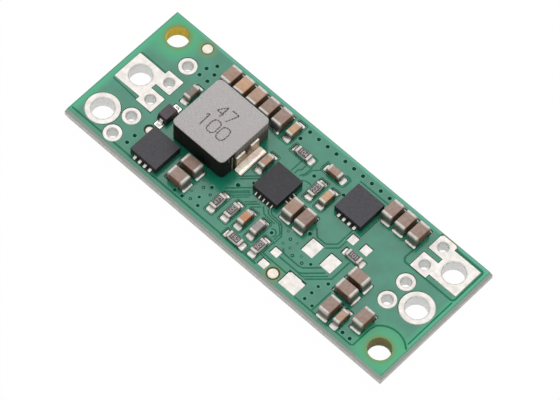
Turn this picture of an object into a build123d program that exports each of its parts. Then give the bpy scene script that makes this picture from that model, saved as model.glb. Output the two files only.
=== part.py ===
from build123d import *

import os
from collections import namedtuple
from math import atan, degrees

# A boost converter module: a long circuit board that carries a power inductor, three chips, a
# diode and many small ceramic parts, with plated terminal and header holes at its two ends.
# Millimetres. The origin is the centre of the underside, +X runs from the input end to the
# output end, +Y across the board and +Z up from the bare underside to the parts.

# Board. Both faces carry one layer that is copper in the pads and solder mask elsewhere.
board_length = 40.64
board_width = 15.24
core_thickness = 1.50
layer_thickness = 0.05
score_inset = 0.16
score_depth = 0.48
mask_clearance = 0.06

# Mounting holes, in two opposite corners.
mount_hole_radius = 1.14
mount_hole_inset = 2.13
mount_mask_margin = 0.15

# Plated holes. Each terminal hole lies midway between two header holes, one row further out.
header_pitch = 2.54
header_edge_distance = 1.27
header_row_inset = 5.08
terminal_row_inset = 2.54
header_hole_radius = 0.51
header_ring_radius = 0.935
header_square_pad = 1.94
terminal_hole_radius = 1.12
terminal_ring_radius = 1.725
terminal_square_pad = 3.46
plating = 0.07
input_header_count = 5
output_header_count = 4
input_ground_steps = (0, 1)
input_finger_steps = (2, 3)
output_finger_steps = (0, 1)
output_ground_steps = (2, 3)
terminal_x = board_length / 2 - terminal_row_inset
header_x = board_length / 2 - header_row_inset

# What repeats is drawn with a few flats: the drilled walls behind the plating, the rims of the
# rings and the openings round them. Every hole that something passes through stays round.
drill_sides = 12
ring_sides = 18

# Round marks. One fiducial lies in line with the input header row.
fiducial_radius = 0.53
fiducial_opening_radius = 0.80
fiducial_edge_distance = 1.12

# Ceramic chips: capacitors in two sizes and resistors as long and wide as the small ones.
large_length = 2.00
large_width = 1.25
large_height = 1.25
large_band = 0.42
large_toe = 0.28
large_rise = 0.42
small_length = 1.60
small_width = 0.80
small_height = 0.80
small_band = 0.34
small_toe = 0.47
small_rise = 0.34
resistor_height = 0.45
resistor_band = 0.30
resistor_rise = 0.26
resistor_coat = 0.04
end_metal = 0.03
land_heel = 0.06
hollow_share = 0.32

# Moulded chips with their leads in notches along the lower edge.
power_chip_side = 3.30
power_lead_pitch = 0.65
power_lead_width = 0.36
power_lead_count = 4
power_pad_x = 2.40
power_pad_y = 1.70
controller_chip_x = 3.10
controller_chip_y = 3.50
controller_lead_pitch = 0.50
controller_lead_width = 0.24
controller_end_leads = 5
controller_side_leads = 3
controller_pad_x = 1.80
controller_pad_y = 2.10
chip_height = 0.87
lead_thickness = 0.20
lead_inset = 0.40
lead_toe = 0.30
lead_rise = 0.14

# Diode.
diode_length = 1.70
diode_width = 1.25
diode_height = 0.95
diode_draft = 7.0
diode_lead_width = 0.36
diode_lead_thickness = 0.10
diode_lead_reach = 1.24
diode_lead_exit = 0.37
diode_lead_root = 0.30
diode_land_length = 0.70
diode_land_width = 0.84
diode_land_reach = 1.52

# Power inductor: a pressed block with two strip terminals folded down its sides.
inductor_side = 6.60
inductor_height = 2.90
inductor_corner = 0.52
inductor_edge = 0.08
inductor_foot_length = 1.00
terminal_width = 3.14
terminal_thickness = 0.20
terminal_exit = 1.55
terminal_root = 0.35
terminal_bend = 0.13
terminal_slot_width = 0.62
terminal_slot_depth = 0.55
inductor_land_reach = 4.30
inductor_land_width = 3.50
inductor_solder_rise = 0.75

# Places on the board, as x and y from its centre.
inductor_place = (-7.73, 0.50)
switch_chip_place = (-10.89, -5.03)
controller_chip_place = (-0.09, 0.19)
output_chip_place = (6.96, 3.82)
diode_place = (-12.75, -1.45)
fiducial_places = [(-header_x, board_width / 2 - fiducial_edge_distance), (5.83, -6.65)]
test_dot_place = (-12.98, -3.70)
test_dot_radius = 0.45

# Rows of ceramic chips: node name, kind, first place, step to the next, how many, turn in degrees.
chip_rows = [
    ("input_bank_capacitor", "large", (-11.22, 5.56), (1.65, 0), 5, 90),
    ("output_bank_capacitor", "large", (9.56, 5.57), (1.63, 0), 3, 90),
    ("switch_capacitor", "large", (-7.20, -3.93), (0, -1.76), 2, 0),
    ("controller_capacitor", "large", (2.75, -0.73), (1.63, 0), 2, 90),
    ("output_capacitor", "large", (12.13, -1.78), (0, -1.67), 2, 0),
    ("edge_capacitor_1", "large", (12.20, -5.78), (0, 0), 1, 90),
    ("edge_capacitor_2", "large", (header_x, -4.52), (0, 0), 1, 90),
    ("top_small_capacitor", "small", (-3.10, 5.57), (0, 0), 1, 90),
    ("left_small_capacitor", "small", (-12.75, 1.76), (0, 0), 1, 90),
    ("inner_small_capacitor", "small", (-2.62, 1.30), (0, 0), 1, 90),
    ("upper_small_capacitor", "small", (2.82, 4.95), (0, 0), 1, 0),
    ("middle_small_capacitor", "small", (4.10, 2.46), (0, 0), 1, 90),
    ("lower_small_capacitor", "small", (0.13, -4.40), (1.54, 0.05), 2, 90),
    ("output_small_capacitor", "small", (13.60, -5.76), (0, 0), 1, 90),
    ("gate_resistor", "resistor", (-2.97, -4.82), (1.62, 0.20), 2, 90),
    ("upper_resistor", "resistor", (-0.75, 4.43), (0, 0), 1, 0),
    ("middle_resistor", "resistor", (2.65, 2.47), (0, 0), 1, 90),
    ("output_resistor", "resistor", (10.10, -0.27), (0, 0), 1, 0),
    ("edge_resistor", "resistor", (0.90, -6.57), (0, 0), 1, 0),
    ("lower_resistor", "resistor", (3.05, -5.60), (0, 0), 1, 90),
]

# Pads of parts that are not fitted: centre x and y, then size along x and y.
unfitted_pads = [
    (8.73, 1.10, 0.80, 0.88),
    (10.35, 1.12, 0.88, 0.92),
    (6.64, -2.18, 1.34, 1.64),
    (8.95, -2.18, 1.32, 1.64),
    (4.52, -4.85, 0.84, 0.80),
    (4.52, -6.50, 0.84, 0.80),
    (7.80, -6.17, 2.00, 1.64),
]

# Heights that follow from the layers.
core_bottom = layer_thickness
core_top = core_bottom + core_thickness
surface = core_top + layer_thickness
mount_x = board_length / 2 - mount_hole_inset
mount_y = board_width / 2 - mount_hole_inset
mount_places = [(-mount_x, mount_y), (mount_x, -mount_y)]

os.makedirs("parts", exist_ok=True)


def finish(piece, node):
    """Label a finished piece with its node's name and write it."""
    piece.label = node
    export_step(piece, f"parts/{node}.step")


# Places of the plated holes. The input rows start at the near edge, the output rows at the far one.
def input_y(step):
    return -board_width / 2 + header_edge_distance + step * header_pitch


def output_y(step):
    return board_width / 2 - header_edge_distance - step * header_pitch


input_ground = (-terminal_x, input_y(sum(input_ground_steps) / 2))
input_positive = (-terminal_x, input_y(sum(input_finger_steps) / 2))
output_positive = (terminal_x, output_y(sum(output_finger_steps) / 2))
output_ground = (terminal_x, output_y(sum(output_ground_steps) / 2))
input_row = [(-header_x, input_y(step)) for step in range(input_header_count)]
output_row = [(header_x, output_y(step)) for step in range(output_header_count)]
input_fingers = [input_row[step] for step in input_finger_steps]
output_fingers = [output_row[step] for step in output_finger_steps]
header_places = input_row + output_row
eyelet_places = [
    place for place in header_places if place not in input_fingers + output_fingers
]
terminal_places = [input_ground, input_positive, output_positive, output_ground]
terminal_drill = terminal_hole_radius + plating
header_drill = header_hole_radius + plating

# Every chip with its node name, kind and location, and the location of each of its two ends.
Chip = namedtuple("Chip", "length width height band toe rise")
chip_kinds = {
    "large": Chip(large_length, large_width, large_height, large_band, large_toe, large_rise),
    "small": Chip(small_length, small_width, small_height, small_band, small_toe, small_rise),
    "resistor": Chip(
        small_length, small_width, resistor_height, resistor_band, small_toe, resistor_rise
    ),
}


def placed_chips():
    """List every chip of every row as its node name, kind and location on the board's surface."""
    chips = []
    for name, kind, (x, y), (step_x, step_y), count, turn in chip_rows:
        for i in range(count):
            node = f"{name}_{i + 1}" if count > 1 else name
            place = Location((x + i * step_x, y + i * step_y, surface), (0, 0, turn))
            chips.append((node, kind, place))
    return chips


all_chips = placed_chips()
both_ends = [Location((0, 0, 0), (0, 0, turn)) for turn in (0, 180)]


def end_locations(kind):
    """Locations of all ends of one kind of chip, each with its own +X pointing out of the end."""
    places = [place for _, chip_kind, place in all_chips if chip_kind == kind]
    return [place * end for place in places for end in both_ends]


def land_of(chip):
    """Inner and outer edge of a land, measured from the chip's centre."""
    return chip.length / 2 - chip.band - land_heel, chip.length / 2 + chip.toe


# Lead rows of the moulded chips: pitch, how many, and the row's middle on the body's edge, turned
# so that +X points outwards.
def lead_row(half_depth, pitch, count, turn):
    """One row of leads along one edge of a chip."""
    return pitch, count, Location((0, 0, 0), (0, 0, turn)) * Location((half_depth, 0, 0))


def leads_of(rows):
    """Location of every lead of a chip, measured from its centre."""
    return [
        row * Location((0, (i - (count - 1) / 2) * pitch, 0))
        for pitch, count, row in rows
        for i in range(count)
    ]


power_rows = [
    lead_row(power_chip_side / 2, power_lead_pitch, power_lead_count, turn) for turn in (-90, 90)
]
controller_rows = [
    lead_row(controller_chip_y / 2, controller_lead_pitch, controller_end_leads, turn)
    for turn in (-90, 90)
] + [
    lead_row(controller_chip_x / 2, controller_lead_pitch, controller_side_leads, turn)
    for turn in (0, 180)
]
Moulded = namedtuple("Moulded", "node place size_x size_y rows lead_width pad_x pad_y")
moulded_chips = [
    Moulded("switch_chip", switch_chip_place, power_chip_side, power_chip_side, power_rows,
            power_lead_width, power_pad_x, power_pad_y),
    Moulded("controller_chip", controller_chip_place, controller_chip_x, controller_chip_y,
            controller_rows, controller_lead_width, controller_pad_x, controller_pad_y),
    Moulded("output_chip", output_chip_place, power_chip_side, power_chip_side, power_rows,
            power_lead_width, power_pad_x, power_pad_y),
]


def on_board(place):
    """Location of a part's own frame on the board's surface."""
    return Location((place[0], place[1], surface))


def flat(place):
    """The same location in the sketch plane, without its height."""
    return Location((place.position.X, place.position.Y), place.orientation.Z)


# Lands of the diode and the inductor, one at each end.
diode_land_centre = diode_land_reach - diode_land_length / 2
diode_land_centres = [
    (diode_place[0], diode_place[1] + side * diode_land_centre) for side in (-1, 1)
]
inductor_land_heel = inductor_side / 2 - inductor_foot_length
inductor_land_length = inductor_land_reach - inductor_land_heel
inductor_land_centre = (inductor_land_reach + inductor_land_heel) / 2
inductor_land_centres = [
    (inductor_place[0] + side * inductor_land_centre, inductor_place[1]) for side in (-1, 1)
]


# Circuit board core. Its edges were scored from both faces and snapped along the web between.
score_angle = degrees(atan(score_inset / score_depth))
web_thickness = core_thickness - 2 * score_depth
core_middle = core_bottom + core_thickness / 2
with BuildPart() as circuit_board:
    with BuildSketch(Plane.XY.offset(core_middle)):
        Rectangle(board_length, board_width)
    extrude(amount=web_thickness / 2, both=True)
    with BuildSketch(Plane.XY.offset(core_top - score_depth)):
        Rectangle(board_length, board_width)
    extrude(amount=score_depth, taper=score_angle)
    mirror(about=Plane.XY.offset(core_middle))
    with BuildSketch(Plane.XY.offset(core_bottom)):
        with Locations(*mount_places):
            Circle(mount_hole_radius)
        with Locations(*terminal_places):
            RegularPolygon(terminal_drill, drill_sides)
        with Locations(*header_places):
            RegularPolygon(header_drill, drill_sides)
    extrude(amount=core_thickness, mode=Mode.SUBTRACT)
finish(circuit_board.part, "circuit_board")


def open_disc(radius, sides):
    """A round mask opening."""
    RegularPolygon(radius, sides, mode=Mode.SUBTRACT)


def open_pad(size_x, size_y):
    """A mask opening that clears a pad of this size all round."""
    Rectangle(size_x + 2 * mask_clearance, size_y + 2 * mask_clearance, mode=Mode.SUBTRACT)


def plated_openings():
    """Mask openings round every plated ring and pad and both mounting holes, on either face."""
    with Locations(*mount_places):
        open_disc(mount_hole_radius + mount_mask_margin, ring_sides)
    with Locations(input_ground, output_ground):
        open_disc(terminal_ring_radius + mask_clearance, ring_sides)
    with Locations(*eyelet_places):
        open_disc(header_ring_radius + mask_clearance, ring_sides)
    with Locations(input_positive, output_positive):
        open_pad(terminal_square_pad, terminal_square_pad)
    with Locations(*input_fingers, *output_fingers):
        open_pad(header_square_pad, header_square_pad)


def land_openings():
    """Mask openings over the lands of all parts, the pads not fitted and the round marks."""
    for kind, chip in chip_kinds.items():
        inner, outer = land_of(chip)
        centre = Location(((inner + outer) / 2, 0, 0))
        with Locations(*[flat(place * centre) for place in end_locations(kind)]):
            open_pad(outer - inner, chip.width)
    for chip in moulded_chips:
        for pitch, count, row in chip.rows:
            middle = Location(((lead_toe - lead_inset) / 2, 0, 0))
            span = (count - 1) * pitch + chip.lead_width
            with Locations(flat(on_board(chip.place) * row * middle)):
                open_pad(lead_toe + lead_inset, span)
        with Locations(chip.place):
            open_pad(chip.pad_x, chip.pad_y)
    with Locations(*diode_land_centres):
        open_pad(diode_land_width, diode_land_length)
    with Locations(*inductor_land_centres):
        open_pad(inductor_land_length, inductor_land_width)
    for x, y, size_x, size_y in unfitted_pads:
        with Locations((x, y)):
            open_pad(size_x, size_y)
    with Locations(*fiducial_places):
        open_disc(fiducial_opening_radius, ring_sides)
    with Locations(test_dot_place):
        open_disc(test_dot_radius + mask_clearance, drill_sides)


# Solder mask, open over everything that is soldered.
with BuildPart() as top_solder_mask:
    with BuildSketch(Plane.XY.offset(core_top)):
        Rectangle(board_length - 2 * score_inset, board_width - 2 * score_inset)
        plated_openings()
        land_openings()
    extrude(amount=layer_thickness)
finish(top_solder_mask.part, "top_solder_mask")

with BuildPart() as bottom_solder_mask:
    with BuildSketch():
        Rectangle(board_length - 2 * score_inset, board_width - 2 * score_inset)
        plated_openings()
    extrude(amount=layer_thickness)
finish(bottom_solder_mask.part, "bottom_solder_mask")


# Plated holes: a copper barrel through the board with a ring or pad on both faces, as one piece.
def both_faces():
    """Extrude the pending sketch as a copper layer on both faces of the board."""
    extrude(amount=layer_thickness)
    mirror(about=Plane.XY.offset(surface / 2))


def round_eyelet(ring_radius, hole_radius):
    """A round ring on both faces, joined by its barrel."""
    with BuildPart() as eyelet:
        with BuildSketch():
            RegularPolygon(ring_radius, ring_sides)
        both_faces()
        with BuildSketch():
            RegularPolygon(hole_radius + plating, drill_sides)
        extrude(amount=surface)
        with BuildSketch():
            Circle(hole_radius)
        extrude(amount=surface, mode=Mode.SUBTRACT)
    return eyelet.part


def block_terminal(centre, fingers):
    """A square block pad and two square finger pads as one piece, with a barrel in each."""
    with BuildPart() as block:
        with BuildSketch():
            with Locations(centre):
                Rectangle(terminal_square_pad, terminal_square_pad)
            with Locations(*fingers):
                Rectangle(header_square_pad, header_square_pad)
        both_faces()
        with BuildSketch():
            with Locations(centre):
                RegularPolygon(terminal_drill, drill_sides)
            with Locations(*fingers):
                RegularPolygon(header_drill, drill_sides)
        extrude(amount=surface)
        with BuildSketch():
            with Locations(centre):
                Circle(terminal_hole_radius)
            with Locations(*fingers):
                Circle(header_hole_radius)
        extrude(amount=surface, mode=Mode.SUBTRACT)
    return block.part


def placed(piece, places):
    """Copies of a piece at each place, as one group."""
    with BuildPart() as group:
        with Locations(*places):
            add(piece)
    return group.part


ground_eyelet = round_eyelet(terminal_ring_radius, terminal_hole_radius)
header_eyelet = round_eyelet(header_ring_radius, header_hole_radius)
finish(block_terminal(input_positive, input_fingers), "input_positive_terminal")
finish(block_terminal(output_positive, output_fingers), "output_positive_terminal")
finish(placed(ground_eyelet, [input_ground]), "input_ground_terminal")
finish(placed(ground_eyelet, [output_ground]), "output_ground_terminal")
finish(placed(header_eyelet, eyelet_places), "header_eyelets")

# Bare copper: the two round fiducials with one round test dot, and the pads not fitted.
with BuildPart() as round_marks:
    with BuildSketch(Plane.XY.offset(core_top)):
        with Locations(*fiducial_places):
            RegularPolygon(fiducial_radius, ring_sides)
        with Locations(test_dot_place):
            RegularPolygon(test_dot_radius, drill_sides)
    extrude(amount=layer_thickness)
finish(round_marks.part, "round_marks")

with BuildPart() as bare_pads:
    with BuildSketch(Plane.XY.offset(core_top)):
        for x, y, size_x, size_y in unfitted_pads:
            with Locations((x, y)):
                Rectangle(size_x, size_y)
    extrude(amount=layer_thickness)
finish(bare_pads.part, "unfitted_pads")


# A solder joint is a land with a hollow fillet that climbs the metal face standing at its heel.
def solder_joint(inner, outer, face, rise, width):
    """One land from inner to outer edge, its fillet climbing the face at x = face."""
    hollow = (face + (outer - face) * hollow_share, rise * hollow_share)
    with BuildPart() as joint:
        with BuildSketch(Plane.XZ):
            with BuildLine():
                Polyline(
                    (face, rise),
                    (face, 0),
                    (inner, 0),
                    (inner, -layer_thickness),
                    (outer, -layer_thickness),
                    (outer, 0),
                    hollow,
                    close=True,
                )
            make_face()
        extrude(amount=width / 2, both=True)
    return joint.part


with BuildPart() as chip_joints:
    for kind, chip in chip_kinds.items():
        inner, outer = land_of(chip)
        joint = solder_joint(inner, outer, chip.length / 2, chip.rise, chip.width)
        with Locations(*end_locations(kind)):
            add(joint)
finish(chip_joints.part, "ceramic_chip_solder_joints")


# Ceramic chips. The end metal is a cup over each end of the ceramic, and stands a little proud.
def end_cup(chip):
    """The metal cup over one end, opening towards the chip's centre."""
    with BuildPart() as cup:
        with BuildSketch(Plane.YZ.offset(chip.length / 2 - chip.band)):
            with Locations((0, chip.height / 2)):
                Rectangle(chip.width, chip.height)
        extrude(amount=chip.band)
        with BuildSketch(Plane.YZ.offset(chip.length / 2 - chip.band)):
            with Locations((0, chip.height / 2)):
                Rectangle(chip.width - 2 * end_metal, chip.height - 2 * end_metal)
        extrude(amount=chip.band - end_metal, mode=Mode.SUBTRACT)
    return cup.part


def ceramic_body(chip):
    """The ceramic block that fills both cups."""
    with BuildPart() as body:
        with BuildSketch(Plane.XY.offset(end_metal)):
            Rectangle(chip.length - 2 * end_metal, chip.width - 2 * end_metal)
        extrude(amount=chip.height - 2 * end_metal)
    return body.part


for kind, chip in chip_kinds.items():
    cups = placed(end_cup(chip), end_locations(kind))
    node = "resistor_end_cups" if kind == "resistor" else f"{kind}_capacitor_end_cups"
    finish(cups, node)

for node, kind, place in all_chips:
    body = placed(ceramic_body(chip_kinds[kind]), [place])
    finish(body, node)

# Resistor coatings lie on the ceramic between the two cups.
resistor = chip_kinds["resistor"]
with BuildPart() as coat:
    with BuildSketch(Plane.XY.offset(resistor_height - end_metal)):
        Rectangle(resistor.length - 2 * resistor.band, resistor.width - 2 * end_metal)
    extrude(amount=resistor_coat)
resistor_places = [place for _, kind, place in all_chips if kind == "resistor"]
finish(placed(coat.part, resistor_places), "resistor_coatings")


# Moulded chips: a sawn block with its leads and pad set into the lower face.
def chip_leads(chip):
    """The lead blocks and the pad under one chip, in the chip's own frame."""
    inwards = Location((-lead_inset / 2, 0, 0))
    with BuildPart() as metal:
        with BuildSketch():
            with Locations(*[flat(lead * inwards) for lead in leads_of(chip.rows)]):
                Rectangle(lead_inset, chip.lead_width)
            Rectangle(chip.pad_x, chip.pad_y)
        extrude(amount=lead_thickness)
    return metal.part


def chip_body(chip, metal):
    """The moulded block with a notch for each lead and a pocket for the pad."""
    with BuildPart() as body:
        with BuildSketch():
            Rectangle(chip.size_x, chip.size_y)
        extrude(amount=chip_height)
        add(metal, mode=Mode.SUBTRACT)
    return body.part


for chip in moulded_chips:
    metal = chip_leads(chip)
    finish(placed(metal, [on_board(chip.place)]), f"{chip.node}_leads")
    finish(placed(chip_body(chip, metal), [on_board(chip.place)]), f"{chip.node}_body")

with BuildPart() as lead_joints:
    for chip in moulded_chips:
        joint = solder_joint(-lead_inset, lead_toe, 0, lead_rise, chip.lead_width)
        with Locations(*[on_board(chip.place) * lead for lead in leads_of(chip.rows)]):
            add(joint)
        with BuildSketch(Plane.XY.offset(core_top)):
            with Locations(chip.place):
                Rectangle(chip.pad_x, chip.pad_y)
        extrude(amount=layer_thickness)
finish(lead_joints.part, "moulded_chip_solder_joints")

# Diode: a drafted moulded body with a bent lead at each end.
with BuildPart() as diode_lead:
    with BuildSketch(Plane.YZ):
        with BuildLine():
            Polyline(
                (diode_length / 2 - diode_lead_root, diode_lead_exit),
                (diode_length / 2, diode_lead_exit),
                (diode_length / 2, 0),
                (diode_lead_reach, 0),
                (diode_lead_reach, diode_lead_thickness),
                (diode_length / 2 + diode_lead_thickness, diode_lead_thickness),
                (diode_length / 2 + diode_lead_thickness, diode_lead_exit + diode_lead_thickness),
                (diode_length / 2 - diode_lead_root, diode_lead_exit + diode_lead_thickness),
                close=True,
            )
        make_face()
    extrude(amount=diode_lead_width / 2, both=True)
diode_leads = placed(diode_lead.part, both_ends)
with BuildPart() as diode_body:
    with BuildSketch():
        Rectangle(diode_width, diode_length)
    extrude(amount=diode_height, taper=diode_draft)
    add(diode_leads, mode=Mode.SUBTRACT)
finish(placed(diode_leads, [on_board(diode_place)]), "diode_leads")
finish(placed(diode_body.part, [on_board(diode_place)]), "diode_body")

# Power inductor: each terminal leaves the block's side, folds down it and under its lower face.
half_side = inductor_side / 2
with BuildPart() as strip:
    with BuildSketch(Plane.XZ):
        with BuildLine():
            Polyline(
                (half_side - terminal_root, terminal_exit),
                (half_side, terminal_exit),
                (half_side, terminal_thickness),
                (half_side - inductor_foot_length, terminal_thickness),
                (half_side - inductor_foot_length, 0),
                (half_side + terminal_thickness, 0),
                (half_side + terminal_thickness, terminal_exit + terminal_thickness),
                (half_side - terminal_root, terminal_exit + terminal_thickness),
                close=True,
            )
        make_face()
    extrude(amount=terminal_width / 2, both=True)
    outer_edges = strip.edges().filter_by(Axis.Y).group_by(Axis.X)[-1]
    chamfer(outer_edges, terminal_bend)
    with BuildSketch(Plane.XY.offset(terminal_exit + terminal_thickness)):
        with Locations((half_side + terminal_thickness, 0)):
            Rectangle(2 * (terminal_thickness + terminal_root), terminal_slot_width)
    extrude(amount=-terminal_slot_depth, mode=Mode.SUBTRACT)
inductor_terminals = placed(strip.part, both_ends)
with BuildPart() as inductor_core:
    with BuildSketch():
        RectangleRounded(inductor_side, inductor_side, inductor_corner)
    extrude(amount=inductor_height)
    chamfer(inductor_core.faces().sort_by(Axis.Z)[-1].edges(), inductor_edge)
    add(inductor_terminals, mode=Mode.SUBTRACT)
finish(placed(inductor_terminals, [on_board(inductor_place)]), "inductor_terminals")
finish(placed(inductor_core.part, [on_board(inductor_place)]), "inductor_core")

# Solder joints of the diode and the inductor.
with BuildPart() as power_joints:
    face = half_side + terminal_thickness
    joint = solder_joint(
        inductor_land_heel, inductor_land_reach, face, inductor_solder_rise, inductor_land_width
    )
    with Locations(*[on_board(inductor_place) * end for end in both_ends]):
        add(joint)
    with BuildSketch(Plane.XY.offset(core_top)):
        with Locations(*diode_land_centres):
            Rectangle(diode_land_width, diode_land_length)
    extrude(amount=layer_thickness)
finish(power_joints.part, "power_solder_joints")
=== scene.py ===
import math
import random
from collections import namedtuple

import bpy
from mathutils import Matrix, Vector
from mathutils.geometry import delaunay_2d_cdt


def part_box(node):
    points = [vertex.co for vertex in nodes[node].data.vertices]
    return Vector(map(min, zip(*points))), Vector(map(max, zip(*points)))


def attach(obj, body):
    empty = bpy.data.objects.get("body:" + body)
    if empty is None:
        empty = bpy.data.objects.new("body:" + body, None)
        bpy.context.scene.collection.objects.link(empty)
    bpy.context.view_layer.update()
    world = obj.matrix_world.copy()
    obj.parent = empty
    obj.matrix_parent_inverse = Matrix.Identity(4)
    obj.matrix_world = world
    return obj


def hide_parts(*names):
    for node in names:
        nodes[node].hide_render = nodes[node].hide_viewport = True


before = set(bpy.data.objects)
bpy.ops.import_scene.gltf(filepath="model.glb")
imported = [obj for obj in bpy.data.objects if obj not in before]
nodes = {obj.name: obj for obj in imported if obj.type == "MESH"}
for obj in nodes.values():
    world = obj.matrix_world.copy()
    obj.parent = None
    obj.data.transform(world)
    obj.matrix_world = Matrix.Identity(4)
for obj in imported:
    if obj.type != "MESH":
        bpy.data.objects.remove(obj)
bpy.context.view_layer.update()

# Lengths are millimetres in the frame of the part. Meshes are scaled to metres when made.
MM = 0.001
CORE_TOP = 1.55
SURFACE = 1.60
LAYER = 0.05
PAD_TOP = 1.59
# Room between a pad and the edge of the mask's opening round it.
GAP = 0.06

# Places of the holes, half sizes of their pads, and radii and sides of their circles.
MOUNTS = [(-18.19, 5.49), (18.19, -5.49)]
MOUNT_RADIUS, MOUNT_SIDES = 1.14, 56
GROUNDS = [(-17.78, -5.08), (17.78, 0.0)]
GROUND_RING = 1.725
EYELETS = [(-15.24, -6.35), (-15.24, -3.81), (-15.24, 3.81), (15.24, 1.27), (15.24, -1.27)]
EYELET_RING = 0.935
BLOCKS = {
    "input_positive_terminal": ((-17.78, 0.0), [(-15.24, -1.27), (-15.24, 1.27)]),
    "output_positive_terminal": ((17.78, 5.08), [(15.24, 3.81), (15.24, 6.35)]),
}
BLOCK_HALF, FINGER_HALF, BLOCK_CORNER = 1.73, 0.97, 0.07
TERMINAL_HOLE, TERMINAL_SIDES = 1.12, 64
HEADER_HOLE, HEADER_SIDES = 0.51, 44
# Two notches in the far edge of the output block.
NOTCHES = [
    [(14.0, 7.5), (14.0, 7.08), (14.27, 7.08), (14.50, 7.32), (14.50, 7.5)],
    [(16.5, 7.5), (16.0, 7.5), (16.0, 7.32), (16.21, 7.14), (16.5, 7.14)],
]

# Bare marks, and the pads of parts that are not fitted as centre and size.
FIDUCIALS = [(-15.24, 6.50), (5.83, -6.65)]
TEST_DOT = (-12.98, -3.70)
UNFITTED = [
    (8.73, 1.10, 0.80, 0.88),
    (10.35, 1.12, 0.88, 0.92),
    (6.64, -2.18, 1.34, 1.64),
    (8.95, -2.18, 1.32, 1.64),
    (4.52, -4.85, 0.84, 0.80),
    (4.52, -6.50, 0.84, 0.80),
    (7.80, -6.17, 2.00, 1.64),
]

DIODE = (-12.75, -1.45)
DIODE_LAND = 1.17
INDUCTOR = (-7.73, 0.50)
INDUCTOR_SIZE = 6.60
INDUCTOR_HEIGHT = 2.90
INDUCTOR_TOP = SURFACE + INDUCTOR_HEIGHT
INDUCTOR_LAND = 3.33


class Shape:
    """Vertices in millimetres, and faces with their material numbers and whether they are smooth."""

    def __init__(self):
        self.verts, self.faces, self.marks, self.soft = [], [], [], []

    def add(self, verts, faces, place=None, mark=0, soft=True):
        start = len(self.verts)
        self.verts += [(place @ Vector(v)) if place else Vector(v) for v in verts]
        self.faces += [[start + i for i in face] for face in faces]
        self.marks += [mark] * len(faces)
        self.soft += [soft] * len(faces)

    def build(self, name, finishes, node, replaces=True):
        """Make the piece for a node of the frame and mostly in its stead."""
        mesh = bpy.data.meshes.new(name)
        mesh.from_pydata([v * MM for v in self.verts], [], self.faces)
        for finish in finishes:
            mesh.materials.append(finish.material)
        for polygon, mark, smooth in zip(mesh.polygons, self.marks, self.soft):
            polygon.material_index = mark
            polygon.use_smooth = smooth
        mesh.validate()
        obj = bpy.data.objects.new(name, mesh)
        bpy.context.collection.objects.link(obj)
        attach(obj, "root")
        if replaces:
            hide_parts(node)


def at(x, y, z=SURFACE, turn=0.0):
    return Matrix.Translation((x, y, z)) @ Matrix.Rotation(math.radians(turn), 4, "Z")


def turned(place, turn):
    return place @ Matrix.Rotation(math.radians(turn), 4, "Z")


def moved(place, x, y=0.0):
    """The place moved along its own axes."""
    return place @ Matrix.Translation((x, y, 0))


def disc(x, y, radius, sides):
    step = 2 * math.pi / sides
    return [(x + radius * math.cos(i * step), y + radius * math.sin(i * step)) for i in range(sides)]


def arc(x, y, radius, start, end, count=14):
    points = []
    for i in range(count + 1):
        a = math.radians(start + (end - start) * i / count)
        points.append((x + radius * math.cos(a), y + radius * math.sin(a)))
    return points


def ribbon(start, end, half):
    """The outline of a straight line of some width."""
    dx, dy = end[0] - start[0], end[1] - start[1]
    size = math.hypot(dx, dy)
    nx, ny = -dy / size * half, dx / size * half
    return [
        (start[0] + nx, start[1] + ny), (start[0] - nx, start[1] - ny),
        (end[0] - nx, end[1] - ny), (end[0] + nx, end[1] + ny),
    ]


def rounded_rect(half_x, half_y, radius, steps=4, x=0.0, y=0.0):
    radius = max(min(radius, half_x, half_y), 1e-4)
    points = []
    for sx, sy, start in [(1, 1, 0), (-1, 1, 90), (-1, -1, 180), (1, -1, 270)]:
        for i in range(steps + 1):
            a = math.radians(start + 90 * i / steps)
            points.append((
                x + sx * (half_x - radius) + radius * math.cos(a),
                y + sy * (half_y - radius) + radius * math.sin(a),
            ))
    return points


def turned_rect(place, distance, half_x, half_y, radius, steps, shift_x=0.0, shift_y=0.0):
    """A rounded rectangle at a distance along the X axis of a place turned by quarter turns."""
    middle = place @ Vector((distance, 0, 0))
    if abs(place[0][0]) < 0.5:
        half_x, half_y = half_y, half_x
    return rounded_rect(half_x, half_y, radius, steps, middle.x + shift_x, middle.y + shift_y)


def pillar(levels, steps=4):
    """A closed solid of rounded rectangles, each given as half x, half y, corner radius, height."""
    verts, faces = [], []
    count = 4 * (steps + 1)
    for half_x, half_y, radius, z in levels:
        verts += [(px, py, z) for px, py in rounded_rect(half_x, half_y, radius, steps)]
    for level in range(len(levels) - 1):
        for i in range(count):
            j = (i + 1) % count
            a, b = level * count, (level + 1) * count
            faces.append([a + i, a + j, b + j, b + i])
    faces.append(list(range(count))[::-1])
    faces.append([(len(levels) - 1) * count + i for i in range(count)])
    return verts, faces


def block(size_x, size_y, height, edge, base=0.0, corner=None):
    """A block whose upper and lower edges are rounded."""
    corner = edge if corner is None else corner
    turns = [math.radians(t) for t in (0, 30, 60, 90)]
    rounds = [(edge * (1 - math.sin(t)), base + edge * (1 - math.cos(t))) for t in turns]
    rounds += [(edge * (1 - math.cos(t)), base + height - edge * (1 - math.sin(t))) for t in turns]
    return pillar([
        (size_x / 2 - inset, size_y / 2 - inset, corner - inset, z) for inset, z in rounds
    ])


def revolved(profile, sides):
    """A surface turned round Z, from radii and heights."""
    verts, faces = [], []
    for radius, z in profile:
        verts += [(px, py, z) for px, py in disc(0, 0, radius, sides)]
    for k in range(len(profile) - 1):
        for i in range(sides):
            j = (i + 1) % sides
            faces.append([k * sides + i, k * sides + j, (k + 1) * sides + j, (k + 1) * sides + i])
    return verts, faces


# Solder reaches down into the mask's opening. A fillet's face is hollow and swells a little.
SOLDER_FOOT = -0.045
FILLET_SWELL, FILLET_POWER = 0.035, 2.3


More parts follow.
